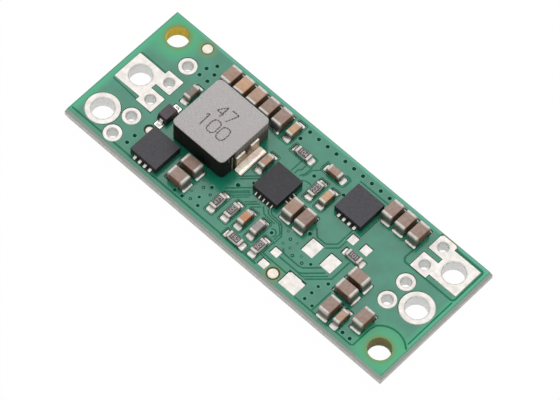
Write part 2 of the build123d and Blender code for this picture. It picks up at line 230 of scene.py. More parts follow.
def fillet(reach, width, rise, rows=7, columns=8, side_rise=0.72, taper=0.10):
    """Solder from the metal face at x = 0 out to x = reach, hollow, and lower towards its sides."""
    verts, faces = [], []
    for i in range(rows + 1):
        u = i / rows
        half = width / 2 * (1 - taper * max(0.0, (u - 0.6) / 0.4) ** 2)
        for j in range(columns + 1):
            v = 2 * j / columns - 1
            climb = rise * (1 - u) ** FILLET_POWER * (1 - (1 - side_rise) * abs(v) ** 3)
            if i == rows:
                z = SOLDER_FOOT
            elif abs(v) == 1:
                z = climb * 0.5
            else:
                z = climb + FILLET_SWELL * (1 - u ** 6) * (1 - abs(v) ** 6)
            x = reach * (1 - 0.8 * taper * abs(v) ** 6 * u) * u
            verts.append((x, v * half, z))
    stride = columns + 1
    for i in range(rows):
        for j in range(columns):
            a = i * stride + j
            faces.append([a, a + stride, a + stride + 1, a + 1])
    return verts, faces


def triangles(polygons):
    """Triangles of overlapping polygons, each with the numbers of the polygons that cover it."""
    coords, faces = [], []
    for polygon in polygons:
        faces.append(list(range(len(coords), len(coords) + len(polygon))))
        coords += [Vector(p) for p in polygon]
    verts, _, tris, _, _, covers = delaunay_2d_cdt(coords, [], faces, 1, 1e-5, True)
    return verts, tris, covers


def plate(solid, holes, top, bottom, height=None, kinds=(), floor_faces=False):
    """A flat plate with holes. kinds are more polygons, each with the material of what it covers."""
    verts, tris, covers = triangles(list(solid) + list(holes) + [polygon for polygon, _ in kinds])
    first_hole, first_kind = len(solid), len(solid) + len(holes)
    shape = Shape()
    kept, marks = [], []
    for tri, cover in zip(tris, covers):
        if not any(c < first_hole for c in cover):
            continue
        if any(first_hole <= c < first_kind for c in cover):
            continue
        over = [kinds[c - first_kind][1] for c in cover if c >= first_kind]
        kept.append(list(tri))
        marks.append(max(over) if over else 0)
    count = len(verts)
    shape.verts = [Vector((v.x, v.y, height(v.x, v.y) if height else top)) for v in verts]
    shape.verts += [Vector((v.x, v.y, bottom)) for v in verts]
    shape.faces, shape.marks = kept[:], marks[:]
    edges = {}
    for tri in kept:
        for a, b in zip(tri, tri[1:] + tri[:1]):
            edges[a, b] = True
    for a, b in edges:
        if (b, a) not in edges:
            shape.faces.append([b, a, a + count, b + count])
            shape.marks.append(0)
    if floor_faces:
        shape.faces += [[i + count for i in tri[::-1]] for tri in kept]
        shape.marks += marks
    shape.soft = [False] * len(shape.faces)
    return shape


def box_of(node):
    low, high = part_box(node)
    return [v / MM for v in low], [v / MM for v in high]


def middle_of(low, high):
    return (low[0] + high[0]) / 2, (low[1] + high[1]) / 2


def linear(colour):
    def one(c):
        c = c / 255
        return c / 12.92 if c <= 0.04045 else ((c + 0.055) / 1.055) ** 2.4
    return tuple(one(c) for c in colour) + (1.0,)


class Finish:
    """A node-based material: two colours mixed by noise, with rough patches and fine relief."""

    def __init__(self, name, low, high, patch=0.5, rough=(0.4, 0.6), metallic=0.0, relief=0.0,
                 grain=0.05, contrast=(0.35, 0.65)):
        self.material = bpy.data.materials.new(name)
        self.material.use_nodes = True
        self.tree = self.material.node_tree
        self.shader = self.tree.nodes["Principled BSDF"]
        self.shader.inputs["Metallic"].default_value = metallic
        self.place = self.node("ShaderNodeTexCoord").outputs["Object"]
        ramp = self.node("ShaderNodeValToRGB")
        for stop, position, colour in zip(ramp.color_ramp.elements, contrast, (low, high)):
            stop.position, stop.color = position, linear(colour)
        self.link(self.noise(patch, 4.0), ramp.inputs["Fac"])
        self.colour = ramp.outputs["Color"]
        self.link(self.colour, self.shader.inputs["Base Color"])
        spread = self.node("ShaderNodeMapRange")
        spread.inputs["From Min"].default_value, spread.inputs["From Max"].default_value = 0.3, 0.7
        spread.inputs["To Min"].default_value, spread.inputs["To Max"].default_value = rough
        self.link(self.noise(patch * 0.6, 2.0), spread.inputs["Value"])
        self.link(spread.outputs["Result"], self.shader.inputs["Roughness"])
        if relief:
            self.bump(self.noise(grain, 3.0), relief)

    def node(self, kind):
        return self.tree.nodes.new(kind)

    def link(self, a, b):
        self.tree.links.new(a, b)

    def noise(self, size, detail):
        n = self.node("ShaderNodeTexNoise")
        n.inputs["Scale"].default_value = 1 / (size * MM)
        n.inputs["Detail"].default_value = detail
        self.link(self.place, n.inputs["Vector"])
        return n.outputs["Fac"]

    def bump(self, height, depth):
        """Relief on top of what relief there is."""
        b = self.node("ShaderNodeBump")
        b.inputs["Strength"].default_value = 1.0
        b.inputs["Distance"].default_value = depth * MM
        self.link(height, b.inputs["Height"])
        if self.shader.inputs["Normal"].is_linked:
            self.link(self.shader.inputs["Normal"].links[0].from_socket, b.inputs["Normal"])
        self.link(b.outputs["Normal"], self.shader.inputs["Normal"])

    def math(self, kind, *values):
        n = self.node("ShaderNodeMath")
        n.operation = kind
        for socket, value in zip(n.inputs, values):
            if isinstance(value, (int, float)):
                socket.default_value = value
            else:
                self.link(value, socket)
        return n.outputs[0]

    def axis(self, name):
        split = self.node("ShaderNodeSeparateXYZ")
        self.link(self.place, split.inputs[0])
        return split.outputs[name]

    def ramp_of(self, value, start, end):
        """Smoothly 0 to 1 between two lengths."""
        n = self.node("ShaderNodeMapRange")
        n.interpolation_type = "SMOOTHSTEP"
        n.inputs["From Min"].default_value = start * MM
        n.inputs["From Max"].default_value = end * MM
        self.link(value, n.inputs["Value"])
        return n.outputs["Result"]

    def below(self, start, end):
        """1 under a height, and 0 above another."""
        return self.math("SUBTRACT", 1.0, self.ramp_of(self.axis("Z"), start, end))

    def near(self, x, y, start, end):
        """1 near a vertical axis at x and y, and 0 far from it."""
        dx = self.math("SUBTRACT", self.axis("X"), x * MM)
        dy = self.math("SUBTRACT", self.axis("Y"), y * MM)
        squares = self.math("ADD", self.math("MULTIPLY", dx, dx), self.math("MULTIPLY", dy, dy))
        return self.math("SUBTRACT", 1.0, self.ramp_of(self.math("SQRT", squares), start, end))

    def out_from_middle(self, axis):
        return self.math("ABSOLUTE", self.axis(axis))

    def stripes(self, axis, pitch):
        return self.math("SINE", self.math("MULTIPLY", self.axis(axis), 2 * math.pi / (pitch * MM)))

    def spots(self, size, detail, level):
        return self.math("GREATER_THAN", self.noise(size, detail), level)

    def tint(self, colour, factor, *more):
        """Mix a colour in where the product of the factors is high."""
        for other in more:
            factor = self.math("MULTIPLY", factor, other)
        mix = self.node("ShaderNodeMix")
        mix.data_type = "RGBA"
        self.link(factor, mix.inputs["Factor"])
        self.link(self.colour, mix.inputs["A"])
        mix.inputs["B"].default_value = linear(colour)
        self.colour = mix.outputs["Result"]
        self.link(self.colour, self.shader.inputs["Base Color"])


# Laminate: layered edges, paler below the scored line and greener above it, yellow mounting walls with a
# painted highlight on one side and painted shade on the other, and rims where the mask's openings show it,
# the dark ones painted shade and the others olive, brown and warm.
laminate = Finish(
    "laminate", (190, 185, 181), (216, 211, 207), patch=0.3, rough=(0.55, 0.8), relief=0.03, grain=0.08
)
laminate.bump(laminate.stripes("Z", 0.19), 0.004)
laminate.tint((238, 230, 227), laminate.below(0.40, 0.60), 0.8)
laminate.tint((156, 170, 160), laminate.ramp_of(laminate.axis("Z"), 0.98, 1.16), 0.85)
# Painted highlight and painted shade: each yellow wall gets a lit colour, and a dim colour across X on its
# other side.
for (x, y), lit, dim in zip(MOUNTS, ((255, 222, 94), (150, 140, 80)), ((138, 172, 70), (108, 130, 84))):
    wall = laminate.near(x, y, 1.4, 1.6)
    laminate.tint(lit, wall)
    across = laminate.math("SUBTRACT", laminate.axis("X"), x * MM)
    laminate.tint(dim, wall, laminate.ramp_of(across, -0.3, 0.9))
# Painted shade: the near-black rim of laminate in the gaps round lands and pads, most of it on the far side
# where the openings are shifted.
rim = laminate.ramp_of(laminate.axis("Z"), 1.52, 1.545)
inside = laminate.math("LESS_THAN", laminate.out_from_middle("X"), 17.0 * MM)
laminate.tint((34, 40, 26), rim, inside)
laminate.tint((104, 122, 58), rim, laminate.near(*FIDUCIALS[0], 1.0, 1.1))
laminate.tint((66, 56, 34), rim, laminate.near(*FIDUCIALS[1], 1.0, 1.1))
laminate.tint((236, 168, 84), rim, laminate.near(15.3, 7.5, 0.8, 1.1))


def mask_finish(name, low, high, gloss, rough=(0.15, 0.24)):
    finish = Finish(name, low, high, patch=1.6, rough=rough, relief=0.003, grain=0.3)
    finish.shader.inputs["Specular IOR Level"].default_value = gloss
    return finish


# Solder mask: paler along three edges, with a dark outline, and tinted round holes and marks.
mask = mask_finish("mask_over_copper", (10, 121, 92), (22, 134, 105), 0.62)
mask.tint((16, 172, 122), mask.ramp_of(mask.out_from_middle("X"), 19.0, 20.0), 0.9)
mask.tint((66, 184, 150), mask.ramp_of(mask.axis("Y"), 7.0, 7.4), 0.8)
mask.tint((8, 134, 100), mask.ramp_of(mask.math("MULTIPLY", mask.axis("Y"), -1.0), 6.95, 7.25), 0.8)
for x, y in MOUNTS:
    mask.tint((0, 168, 106), mask.near(x, y, 1.5, 3.4), 0.85)
    mask.tint((92, 130, 34), mask.near(x, y, 1.15, 1.75), 0.8)
ends = mask.ramp_of(mask.out_from_middle("X"), 20.00, 20.10)
outline = mask.math("MAXIMUM", ends, mask.ramp_of(mask.axis("Y"), 7.34, 7.42))
mask.tint((16, 104, 80), outline, 0.7)
for x, y in FIDUCIALS:
    mask.tint((92, 132, 40), mask.near(x, y, 0.8, 1.2), 0.6)
# Painted shade: the mask in the copper gaps lies over bare laminate, and its colour is darkened to stand
# for the shade in these narrow lines.
mask_gap_painted_shade = mask_finish("mask_over_laminate_painted_shade", (0, 100, 70), (2, 112, 80), 0.2)
mask_via = mask_finish("mask_in_via", (0, 58, 42), (2, 68, 50), 0.06, rough=(0.5, 0.6))
mask_ring = mask_finish("mask_round_via", (20, 134, 104), (30, 144, 114), 0.7)
mask_below = mask_finish("mask_underside", (12, 122, 92), (24, 136, 106), 0.62)

# Metals. Plated walls are painted paler than the pads, a painted light, and solder is painted darker where
# it climbs, a painted shade.
tin = Finish(
    "tinned_copper", (198, 193, 188), (215, 210, 205), patch=0.6, rough=(0.34, 0.5), metallic=0.5,
    relief=0.01, grain=0.35,
)
# Painted light: the walls of the holes are tinted paler than the pads.
tin.tint((230, 230, 228), tin.below(1.50, 1.585), tin.ramp_of(tin.axis("Z"), 0.03, 0.06))
solder = Finish(
    "bright_solder", (206, 202, 196), (238, 235, 230), patch=0.3, rough=(0.22, 0.36), metallic=0.85,
    relief=0.008, grain=0.25,
)
# Painted shade: solder is tinted darker higher up where it climbs.
solder.tint((104, 94, 86), solder.ramp_of(solder.axis("Z"), SURFACE + 0.08, SURFACE + 0.24), 0.8)
broad_solder = Finish(
    "broad_solder", (206, 188, 172), (240, 232, 224), patch=0.45, rough=(0.2, 0.3), metallic=0.6,
    relief=0.01, grain=0.5,
)
# Painted reflection: pale green spots stand for the mask seen in the solder.
broad_solder.tint((198, 220, 186), broad_solder.spots(0.45, 1.0, 0.58), 0.6)
broad_solder.tint((236, 196, 182), broad_solder.spots(0.38, 1.0, 0.60), 0.6)
strip_metal = Finish(
    "terminal_strip", (222, 206, 190), (240, 230, 216), patch=0.4, rough=(0.24, 0.36), metallic=0.55,
    relief=0.006, grain=0.3,
)
# Painted shade: the upright face and foot below the top are tinted a darker, warmer tan.
strip_metal.tint((222, 194, 162), strip_metal.below(3.16, 3.24), 0.85)
# Painted highlight: thin lighter bars stand against the dark core beside each strip.
strip_edge_highlight = Finish(
    "terminal_edge_painted_highlight", (120, 108, 88), (156, 144, 124), patch=0.25, rough=(0.4, 0.55), metallic=0.3,
    relief=0.006, grain=0.1,
)
lead_metal = Finish(
    "chip_leads", (202, 198, 192), (232, 228, 222), patch=0.2, rough=(0.26, 0.4), metallic=0.8,
    relief=0.004, grain=0.1,
)
dot_metal = Finish(
    "round_copper_mark", (196, 188, 176), (210, 202, 190), patch=0.3, rough=(0.36, 0.5), metallic=0.6,
    relief=0.005, grain=0.2,
)

# Resistors and their print.
alumina = Finish(
    "alumina", (206, 202, 196), (226, 222, 216), patch=0.2, rough=(0.5, 0.66), relief=0.004
)
coating = Finish(
    "resistor_glass", (64, 50, 51), (86, 70, 70), patch=0.16, rough=(0.34, 0.48), relief=0.004, grain=0.08
)
print_ink = Finish(
    "resistor_print", (172, 162, 166), (198, 188, 192), patch=0.12, rough=(0.5, 0.7), relief=0.004,
    grain=0.06,
)

# Inductor: speckled grey on top and dark down the sides, with one striated side facing the strips.
powder = Finish(
    "pressed_powder", (170, 166, 165), (204, 200, 199), patch=0.10, rough=(0.56, 0.7), relief=0.012,
    grain=0.08, contrast=(0.38, 0.62),
)
powder.tint((136, 130, 126), powder.spots(0.07, 2.0, 0.62), 0.6)
powder.shader.inputs["Specular IOR Level"].default_value = 0.2
side = powder.below(INDUCTOR_TOP - 0.16, INDUCTOR_TOP - 0.04)
powder.tint((14, 16, 13), side)
powder.tint(
    (168, 157, 152),
    side,
    powder.ramp_of(powder.axis("X"), INDUCTOR[0] + 3.20, INDUCTOR[0] + 3.29),
    powder.ramp_of(powder.axis("Y"), -1.25, -0.75),
    powder.math("MULTIPLY_ADD", powder.ramp_of(powder.axis("Z"), 3.1, 3.9), 0.65, 0.35),
    powder.math("MULTIPLY_ADD", powder.stripes("Y", 0.21), 0.30, 0.60),
)
mark_ink = Finish(
    "engraved_mark", (62, 54, 52), (98, 88, 84), patch=0.1, rough=(0.6, 0.75), relief=0.01, grain=0.06
)


def moulded(name, low, high):
    """Moulded epoxy with a grainy face, and painted shade down the sides."""
    finish = Finish(name, low, high, patch=0.22, rough=(0.52, 0.68), relief=0.005)
    # Painted shade: the sides below the top are tinted near black.
    finish.tint((20, 19, 21), finish.below(2.36, 2.45))
    return finish


def plated_end(name, height):
    """Matt tin on a chip's end, with painted shade down the sides of a tall one."""
    finish = Finish(
        name, (170, 166, 159), (188, 184, 177), patch=0.25, rough=(0.32, 0.48), metallic=0.5,
        relief=0.005, grain=0.09,
    )
    if height > 0.5:
        top = SURFACE + height
        # Painted shade: darker down the sides of a tall chip's cups.
        finish.tint((122, 112, 104), finish.below(top - 0.40, top - 0.12), 0.85)
    return finish


def ceramic(name, colour, height):
    """Brown ceramic, with painted shade, redder and darker, down the sides."""
    dull, bright = tuple(c - 9 for c in colour), tuple(c + 7 for c in colour)
    finish = Finish(name, dull, bright, patch=0.35, rough=(0.4, 0.55), relief=0.005, grain=0.07)
    top = SURFACE + height
    # Painted shade: the sides are tinted redder and darker than the top.
    painted_shade = tuple(c * f for c, f in zip(colour, (0.66, 0.42, 0.20)))
    finish.tint(painted_shade, finish.below(top - 0.16, top - 0.06), 0.85)
    return finish


epoxy = moulded("moulded_epoxy", (50, 48, 54), (60, 58, 64))
dark_epoxy = moulded("controller_epoxy", (29, 29, 34), (38, 38, 43))
diode_epoxy = moulded("diode_epoxy", (66, 55, 61), (80, 69, 75))

# Ceramic colours, and the chips that are not plain brown.
BROWN, WARM, DARK = (156, 130, 118), (165, 136, 118), (146, 119, 108)
SAND, TAN, ORANGE = (186, 152, 130), (204, 163, 128), (198, 142, 106)
GREY, MAUVE = (130, 118, 110), (160, 150, 150)
CERAMICS = {
    "input_bank_capacitor_1": WARM, "input_bank_capacitor_2": TAN, "input_bank_capacitor_3": SAND,
    "switch_capacitor_1": DARK, "controller_capacitor_1": WARM, "controller_capacitor_2": DARK,
    "top_small_capacitor": TAN, "left_small_capacitor": GREY, "inner_small_capacitor": SAND,
    "upper_small_capacitor": WARM, "middle_small_capacitor": TAN, "lower_small_capacitor_1": ORANGE,
    "lower_small_capacitor_2": MAUVE, "output_small_capacitor": SAND,
}

# Gaps between copper areas, as the half width and the points of the line.
GAPS = [
    (0.08, [(13.42, 4.20), (13.42, 3.10), (13.72, 2.76), (19.40, 2.76), (19.62, 2.84),
            (19.72, 3.06), (19.72, 6.80), (19.60, 6.98), (16.40, 6.98), (16.30, 7.10)]),
    (0.06, [(19.72, 2.60), (19.72, -3.30)]),
    (0.08, arc(18.19, -5.49, 2.40, 44, 142)),
    (0.06, [(16.32, -4.05), (16.16, -4.60), (16.16, -6.84), (16.00, -7.02), (8.95, -7.02)]),
    (0.05, [(14.10, -6.10), (14.10, -7.00)]),
    (0.04, [(-16.30, 1.87), (-19.45, 1.87)]),
    (0.05, [(-19.40, -1.98), (-16.35, -2.14), (-14.20, -2.32)]),
    (0.07, [(-19.9, -6.98), (3.90, -7.02)]),
    (0.05, [(5.0, 6.10), (8.5, 6.10)]),
    (0.05, [(8.98, 4.15), (8.98, 1.85)]),
    (0.045, [(-0.45, 3.95), (-0.45, 2.45)]),
    (0.045, [(0.20, 3.85), (0.20, 3.20), (-0.04, 2.90), (-0.04, 2.45)]),
    (0.045, [(0.78, 3.95), (0.74, 3.05), (0.50, 2.62)]),
    (0.045, [(1.58, 4.46), (0.96, 3.80), (0.90, 3.10), (0.72, 2.74)]),
    (0.045, [(1.00, 2.36), (1.38, 2.58), (1.92, 2.60)]),
    (0.05, [(8.02, 1.90), (8.02, -0.22), (7.24, -1.00), (6.15, -1.02), (5.45, -0.36)]),
    (0.05, [(8.42, 0.55), (8.38, -0.44), (7.50, -1.32)]),
    (0.055, [(-3.40, -1.30), (-1.98, 0.12)]),
    (0.055, [(-3.22, -1.50), (-2.00, -0.28)]),
    (0.055, [(-3.60, -3.25), (-1.85, -1.50)]),
    (0.055, [(-3.28, -3.42), (-1.72, -1.86)]),
    (0.05, [(-2.95, -3.35), (-1.60, -2.00)]),
    (0.05, [(-2.66, -3.40), (-1.35, -2.09)]),
    (0.045, [(-2.36, -3.42), (-1.30, -2.36)]),
    (0.045, [(-1.22, -3.00), (-0.45, -2.23)]),
    (0.05, [(-0.92, -3.05), (-0.10, -2.23)]),
    (0.045, [(-0.48, -3.05), (0.20, -2.37)]),
    (0.05, [(1.18, -1.92), (1.44, -2.22), (2.55, -2.28), (3.05, -2.50), (3.72, -3.28), (3.72, -4.36)]),
    (0.045, [(0.86, -2.04), (1.30, -2.44), (2.66, -2.52), (3.02, -2.76), (3.46, -3.20), (3.46, -3.95)]),
    (0.045, [(0.40, -2.20), (0.92, -2.68), (2.30, -2.76)]),
    (0.045, arc(2.80, -3.66, 0.44, -40, 130, 8)),
    (0.06, [(4.75, -4.12), (5.10, -4.42), (6.95, -4.44), (7.40, -4.32), (8.62, -3.10)]),
    (0.06, [(5.10, -4.96), (7.40, -4.96), (7.80, -4.72), (9.24, -3.28)]),
    (0.05, [(7.60, -5.02), (8.06, -4.94), (9.66, -3.36)]),
    (0.06, [(8.36, -5.02), (10.12, -3.30), (10.12, -0.95)]),
    (0.06, [(3.64, -4.40), (3.64, -5.60), (3.76, -5.74), (6.66, -5.76)]),
    (0.045, [(3.65, -5.98), (4.06, -5.98)]),
    (0.05, [(11.02, -4.40), (11.02, -6.90)]),
    (0.045, [(3.66, 5.64), (4.10, 5.66), (4.34, 5.48), (4.32, 4.70)]),
    (0.045, [(1.40, 5.58), (1.34, 4.95), (1.36, 4.70)]),
]
VIAS = [(-2.02 + 1.133 * i, 6.68, 0.20) for i in range(10)] + [
    (-13.25, 5.76, 0.20), (-13.81, 4.88, 0.20), (-12.78, 4.88, 0.20), (-13.81, 3.92, 0.20),
    (-12.78, 3.92, 0.20), (-13.54, -5.10, 0.20), (-13.54, -6.12, 0.20), (-2.20, 5.55, 0.20),
    (1.50, 3.50, 0.19), (4.85, 3.95, 0.17), (-2.93, -2.16, 0.21), (-4.50, -4.02, 0.17),
    (-4.63, -5.60, 0.15), (-4.10, -6.35, 0.17), (-6.80, -6.62, 0.15), (-5.88, -6.62, 0.16),
    (2.80, -3.64, 0.18), (5.40, -1.22, 0.18), (7.68, -3.52, 0.16), (10.24, -3.88, 0.18),
    (9.76, -4.72, 0.16), (9.78, -5.62, 0.17), (9.72, -6.50, 0.17), (10.72, -6.58, 0.16),
    (14.60, -6.62, 0.19), (15.50, -6.62, 0.19), (-2.02, -0.98, 0.16),
]
# Vias whose filled middle shows.
FILLED = [
    (4.52, -2.92, 0.18), (5.84, -4.04, 0.18), (7.00, -4.02, 0.18), (3.80, -2.44, 0.15),
    (5.28, -2.78, 0.14), (6.48, -3.54, 0.15), (5.12, -3.60, 0.15), (4.32, -3.70, 0.15),
    (-5.10, -6.30, 0.16), (-4.05, -4.74, 0.16), (-5.60, -5.62, 0.15), (-5.55, -4.05, 0.14),
    (-5.05, -4.60, 0.17),
]

# A line in the mask has a flat floor and sloping sides, as shares of its half width. A via has a
# step at its rim and a cone inside it.
LINE_DEPTH, LINE_FLOOR, LINE_EDGE = 0.022, 0.8, 1.6
VIA_STEP, VIA_CONE, VIA_EDGE, VIA_RING = 0.012, 0.03, 1.01, 0.10
# Material numbers of the top mask.
PLAIN, RING, LINE, WELL, PLUG = range(5)


def away(px, py, start, end):
    """Distance of a point from a straight line between two others."""
    dx, dy = end[0] - start[0], end[1] - start[1]
    t = ((px - start[0]) * dx + (py - start[1]) * dy) / (dx * dx + dy * dy)
    t = min(1.0, max(0.0, t))
    return math.hypot(px - start[0] - t * dx, py - start[1] - t * dy)


def mask_height(px, py):
    """Height of the top mask, with its lines and vias pressed in."""
    drop = 0.0
    for half, points in GAPS:
        for start, end in zip(points, points[1:]):
            d = away(px, py, start, end)
            if d < half * LINE_EDGE:
                slope = max(0.0, d - half * LINE_FLOOR) / (half * LINE_FLOOR)
                drop = max(drop, LINE_DEPTH * (1 - slope))
    for x, y, radius in VIAS:
        d = math.hypot(px - x, py - y)
        if d < radius * VIA_EDGE:
            drop = max(drop, VIA_STEP + VIA_CONE * (1 - d / radius))
    return SURFACE - drop


def grooves():
    """Outlines of the lines and vias, each with the material of what it covers."""
    kinds = []
    for half, points in GAPS:
        for start, end in zip(points, points[1:]):
            kinds.append((ribbon(start, end, half * LINE_EDGE), PLAIN))
            kinds.append((ribbon(start, end, half), LINE))
        for x, y in points:
            kinds.append((disc(x, y, half * LINE_EDGE, 10), PLAIN))
            kinds.append((disc(x, y, half, 10), LINE))
    for x, y, radius in VIAS:
        kinds.append((disc(x, y, radius + VIA_RING, 16), RING))
        kinds.append((disc(x, y, radius, 14), WELL))
        kinds.append((disc(x, y, radius * 0.5, 8), WELL))
    for x, y, radius in FILLED:
        kinds.append((disc(x, y, radius, 16), WELL if radius > 0.155 else LINE))
        kinds.append((disc(x, y, radius * 0.5, 12), PLUG))
    return kinds


# Digits, each one stroke in a box one high.
DIGITS = {
    "0": [(0.14, 0.0), (0.0, 0.2), (0.0, 0.8), (0.14, 1.0), (0.50, 1.0), (0.64, 0.8), (0.64, 0.2),
          (0.50, 0.0), (0.14, 0.0)],
    "1": [(0.16, 0.80), (0.36, 1.0), (0.36, 0.0)],
    "2": [(0.0, 0.8), (0.14, 1.0), (0.50, 1.0), (0.64, 0.8), (0.64, 0.6), (0.0, 0.0), (0.66, 0.0)],
    "3": [(0.0, 1.0), (0.62, 1.0), (0.26, 0.60), (0.50, 0.58), (0.64, 0.40), (0.64, 0.18),
          (0.48, 0.0), (0.0, 0.0)],
    "4": [(0.50, 0.0), (0.50, 1.0), (0.0, 0.30), (0.66, 0.30)],
    "5": [(0.62, 1.0), (0.04, 1.0), (0.0, 0.56), (0.46, 0.58), (0.64, 0.40), (0.64, 0.18),
          (0.48, 0.0), (0.0, 0.04)],
    "7": [(0.0, 1.0), (0.64, 1.0), (0.24, 0.0)],
}
RESISTOR_MARKS = {
    "gate_resistor_1": "473",
    "gate_resistor_2": "100",
    "upper_resistor": "104",
    "middle_resistor": "223",
    "output_resistor": "101",
    "edge_resistor": "152",
    "lower_resistor": "303",
}
chance = random.Random(7)


def written(text, x, y, height, spacing, half, broken=0.0):
    """Polygons of a row of digits from x and y on. broken is the length of line between two gaps."""
    polygons = []
    for i, digit in enumerate(text):
        points = [(x + i * spacing + px * height, y + py * height) for px, py in DIGITS[digit]]
        if not broken:
            polygons += [ribbon(start, end, half) for start, end in zip(points, points[1:])]
            polygons += [disc(px, py, half, 8) for px, py in points]
            continue
        for start, end in zip(points, points[1:]):
            dx, dy = end[0] - start[0], end[1] - start[1]
            count = max(1, round(math.dist(start, end) / broken))
            for k in range(count):
                a = (k + chance.uniform(0.0, 0.10)) / count
                b = (k + 1 - chance.uniform(0.02, 0.20)) / count
                off = [chance.uniform(-0.012, 0.012) for _ in range(4)]
                one = (start[0] + dx * a + off[0], start[1] + dy * a + off[1])
                two = (start[0] + dx * b + off[2], start[1] + dy * b + off[3])
                polygons.append(ribbon(one, two, half * chance.uniform(0.75, 1.15)))
    return polygons


# Ceramic chips. band and edge are the length and rounding of the end cups, and toe and rise are the
# reach and height of the solder.
Chip = namedtuple("Chip", "length width height band toe rise edge cups")
LARGE = Chip(2.00, 1.25, 1.25, 0.40, 0.28, 0.40, 0.14, "large_capacitor_end_cups")
SMALL = Chip(1.60, 0.80, 0.80, 0.34, 0.47, 0.30, 0.10, "small_capacitor_end_cups")
RESISTOR = Chip(1.60, 0.80, 0.45, 0.30, 0.47, 0.24, 0.05, "resistor_end_cups")
LAND_HEEL = 0.06
SOLDER_BITE = 0.015
# Room in the line round a small chip, which only the middle of the board has.
OUTLINE_ROOM, OUTLINE_HALF, OUTLINE_REACH = 0.17, 0.03, 10


def chips():
    """Every ceramic chip with its kind, place and turn, read from the frame."""
    found = {}
    for node in sorted(nodes):
        shared = node.endswith(("_cups", "_joints", "_coatings"))
        if shared or not ("capacitor" in node or "resistor" in node):
            continue
        low, high = box_of(node)
        kind = RESISTOR if "resistor" in node else (LARGE if high[2] - low[2] > 1 else SMALL)
        turn = 0 if high[0] - low[0] > high[1] - low[1] else 90
        found[node] = (kind, *middle_of(low, high), turn)
    return found


lands = []
cups = {kind: Shape() for kind in (LARGE, SMALL, RESISTOR)}
chip_solder, coats, prints = Shape(), Shape(), Shape()
for node, (kind, x, y, turn) in chips().items():
    place = at(x, y, turn=turn)
    length, width, height, band = kind.length, kind.width, kind.height, kind.band
    body = Shape()
    if kind is RESISTOR:
        finish = alumina
        body.add(*block(length - 0.06, width - 0.06, height - 0.06, 0.03, base=0.03), place=place)
        coat = block(length - 2 * band + 0.02, width - 0.14, 0.06, 0.02, base=height - 0.04)
        coats.add(*coat, place=place)
        strokes = written(RESISTOR_MARKS[node], -0.44, -0.18, 0.36, 0.32, 0.030)
        printed = plate(strokes, [], height + 0.024, height + 0.01)
        prints.add(printed.verts, printed.faces, place=place, soft=False)
    else:
        finish = ceramic(f"{node}_ceramic", CERAMICS.get(node, BROWN), height)
        body.add(*block(length - 0.08, width - 0.05, height - 0.05, 0.06, base=0.025), place=place)
    body.build(f"{node}_ceramic", [finish], node)
    for end in (0, 180):
        out = turned(place, end)
        cups[kind].add(*block(band, width, height, kind.edge), place=moved(out, length / 2 - band / 2))
        joint = fillet(kind.toe + SOLDER_BITE, width, kind.rise)
        chip_solder.add(*joint, place=moved(out, length / 2 - SOLDER_BITE))
        inner, outer = length / 2 - band - LAND_HEEL, length / 2 + kind.toe
        half_x, half_y = (outer - inner) / 2 + GAP, width / 2 + GAP
        lands.append(turned_rect(out, (inner + outer) / 2, half_x, half_y, 0.10, 3, -0.02, 0.02))
    if kind is not LARGE and abs(x) < OUTLINE_REACH:
        span_x, span_y = length / 2 + kind.toe + OUTLINE_ROOM, width / 2 + OUTLINE_ROOM
        if turn == 90:
            span_x, span_y = span_y, span_x
        outline = rounded_rect(span_x, span_y, 0.16, 2, x, y)
        GAPS.append((OUTLINE_HALF, outline + outline[:1]))
for kind, shape in cups.items():
    shape.build(f"{kind.cups}_metal", [plated_end(f"{kind.cups}_tin", kind.height)], kind.cups)
chip_solder.build("ceramic_chip_solder", [solder], "ceramic_chip_solder_joints")
coats.build("resistor_coatings_glass", [coating], "resistor_coatings")
prints.build("resistor_digits", [print_ink], "resistor_coatings", replaces=False)


def dress(node, finish):
    """Give a node that keeps its solid its material."""
    materials = nodes[node].data.materials
    materials.clear()
    materials.append(finish.material)


# Moulded chips and the diode keep their bodies and leads. Each lead gets its solder. A row is the
# turn of its side, the number of its leads and their pitch.
Moulded = namedtuple("Moulded", "size rows lead_width solder_width finish")
POWER = Moulded((3.30, 3.30), [(-90, 4, 0.65), (90, 4, 0.65)], 0.36, 0.30, epoxy)
CONTROL = Moulded(
    (3.10, 3.50), [(-90, 5, 0.50), (90, 5, 0.50), (0, 3, 0.50), (180, 3, 0.50)], 0.24, 0.15, dark_epoxy
)
lead_solder = Shape()
for name, kind in (("switch_chip", POWER), ("controller_chip", CONTROL), ("output_chip", POWER)):
    dress(f"{name}_body", kind.finish)
    dress(f"{name}_leads", lead_metal)
    x, y = middle_of(*box_of(f"{name}_body"))
    for turn, count, pitch in kind.rows:
        out = at(x, y, turn=turn)
        half = kind.size[0 if turn in (0, 180) else 1] / 2
        joint = fillet(0.31, kind.solder_width, 0.17, rows=5, columns=4)
        for i in range(count):
            lead_solder.add(*joint, place=moved(out, half - 0.01, (i - (count - 1) / 2) * pitch))
        span = (count - 1) * pitch + kind.lead_width
        lands.append(turned_rect(out, half - 0.05, 0.35 + GAP, span / 2 + GAP, 0.06, 2))
lead_solder.build("chip_lead_solder", [solder], "moulded_chip_solder_joints")

dress("diode_body", diode_epoxy)
dress("diode_leads", lead_metal)
power_solder = Shape()
for turn in (90, -90):
    out = at(*DIODE, turn=turn)
    land = block(0.70, 0.84, 0.06, 0.03, base=SOLDER_FOOT, corner=0.1)
    power_solder.add(*land, place=moved(out, DIODE_LAND))
    power_solder.add(*fillet(0.28, 0.50, 0.12, rows=5, columns=5), place=moved(out, 1.22))
    lands.append(turned_rect(out, DIODE_LAND, 0.35 + GAP, 0.42 + GAP, 0.10, 3))

core = Shape()
core.add(
    *block(INDUCTOR_SIZE, INDUCTOR_SIZE, INDUCTOR_HEIGHT - 0.005, 0.09, corner=0.52), place=at(*INDUCTOR)
)
core.build("inductor_pressed_core", [powder], "inductor_core")

